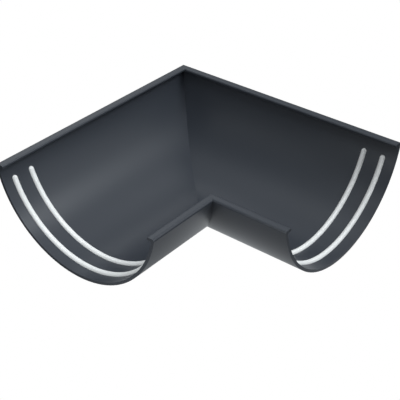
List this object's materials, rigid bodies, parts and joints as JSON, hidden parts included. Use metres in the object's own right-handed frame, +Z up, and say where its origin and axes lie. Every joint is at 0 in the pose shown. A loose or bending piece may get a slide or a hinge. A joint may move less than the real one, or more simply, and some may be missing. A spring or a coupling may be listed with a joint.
{
  "type": "gutter external angle",
  "caption": "Half-round roof gutter angle that carries a gutter round an outside corner, with flat inturned lips and sealing beads inside both open ends.",
  "frame": {"origin": "under the part at the height of its underside, midway between the outer corner of the mitre and the two open ends", "axes": "+X along the left arm towards its open end, +Y along the right arm towards its open end, +Z up out of the open trough"},
  "size_m": [0.1826, 0.1826, 0.0564],
  "materials": {
    "anthracite_plastic": "satin",
    "white_seal": "smooth"
  },
  "bodies": {
    "root": {"gutter_angle": "anthracite_plastic", "left_outer_seal": "white_seal", "left_inner_seal": "white_seal", "right_outer_seal": "white_seal", "right_inner_seal": "white_seal"}
  },
  "joints": []
}
